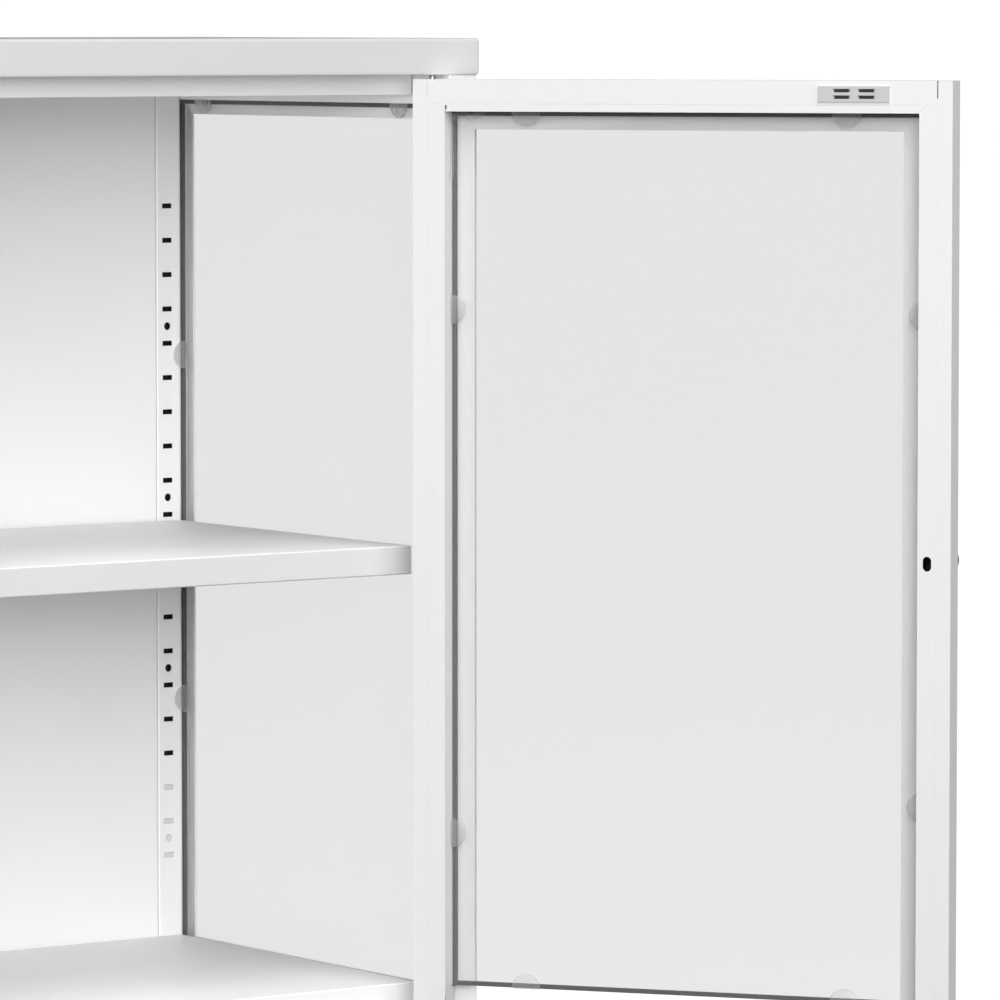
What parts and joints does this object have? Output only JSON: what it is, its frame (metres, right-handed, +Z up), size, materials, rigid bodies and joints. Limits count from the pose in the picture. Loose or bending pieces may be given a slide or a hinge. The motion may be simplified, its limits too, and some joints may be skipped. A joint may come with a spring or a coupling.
{
  "type": "glazed display cabinet",
  "caption": "Low glazed steel display cabinet with pivot-hung glass doors, glazed sides, slotted rear posts and a folded shelf.",
  "frame": {"origin": "centre of the cabinet's footprint, on the floor", "axes": "+X towards the right-hand side seen from the front, +Y towards the back, +Z up"},
  "size_m": [1.0179, 0.6622, 0.73],
  "materials": {
    "powder_coat": "fine powder coat, satin, very light grey",
    "glass": "clear float glass, polished",
    "clear_plastic": "clear moulded plastic",
    "catch_plastic": "light grey moulding",
    "seal_rubber": "matt grey glazing strip",
    "pole_steel": "blackened steel",
    "nylon": "white nylon",
    "foot_rubber": "black moulded foot",
    "zinc": "bright zinc plate",
    "knob_metal": "turned and brushed"
  },
  "bodies": {
    "cabinet": {"top_panel": "powder_coat", "ceiling_panel": "powder_coat", "base_panel": "powder_coat", "floor_panel": "powder_coat", "back_panel": "powder_coat", "left_rear_post": "powder_coat", "right_rear_post": "powder_coat", "left_post_doubler": "powder_coat", "right_post_doubler": "powder_coat", "left_side_front_stile": "powder_coat", "right_side_front_stile": "powder_coat", "left_side_rear_stile": "powder_coat", "right_side_rear_stile": "powder_coat", "left_side_top_rail": "powder_coat", "right_side_top_rail": "powder_coat", "left_side_bottom_rail": "powder_coat", "right_side_bottom_rail": "powder_coat", "left_side_glass": "glass", "right_side_glass": "glass", "left_side_seal": "seal_rubber", "right_side_seal": "seal_rubber", "left_side_clips": "clear_plastic", "right_side_clips": "clear_plastic", "shelf_panel": "powder_coat", "shelf_brackets": "powder_coat", "hinge_bushes": "nylon", "levelling_feet": "foot_rubber", "foot_nuts": "zinc", "base_screws": "zinc", "ceiling_screws": "zinc"},
    "left_door": {"left_door_hinge_stile": "powder_coat", "left_door_free_stile": "powder_coat", "left_door_top_rail": "powder_coat", "left_door_bottom_rail": "powder_coat", "left_door_glass": "glass", "left_door_seal": "seal_rubber", "left_door_clips": "clear_plastic", "left_door_magnet": "catch_plastic", "left_door_poles": "pole_steel", "left_door_knob": "knob_metal", "left_door_knob_screw": "pole_steel", "left_door_pivots": "zinc"},
    "right_door": {"right_door_hinge_stile": "powder_coat", "right_door_free_stile": "powder_coat", "right_door_top_rail": "powder_coat", "right_door_bottom_rail": "powder_coat", "right_door_glass": "glass", "right_door_seal": "seal_rubber", "right_door_clips": "clear_plastic", "right_door_magnet": "catch_plastic", "right_door_poles": "pole_steel", "right_door_knob": "knob_metal", "right_door_knob_screw": "pole_steel", "right_door_pivots": "zinc"}
  },
  "joints": [
    {"name": "right_door_hinge", "type": "hinge", "parent": "cabinet", "child": "right_door", "pos_m": [0.3736, -0.1718, 0.378], "axis": [0, 0, 1], "range_deg": [-126, 3]},
    {"name": "left_door_hinge", "type": "hinge", "parent": "cabinet", "child": "left_door", "pos_m": [-0.3736, -0.1718, 0.378], "axis": [0, 0, -1], "range_deg": [0, 129]}
  ]
}
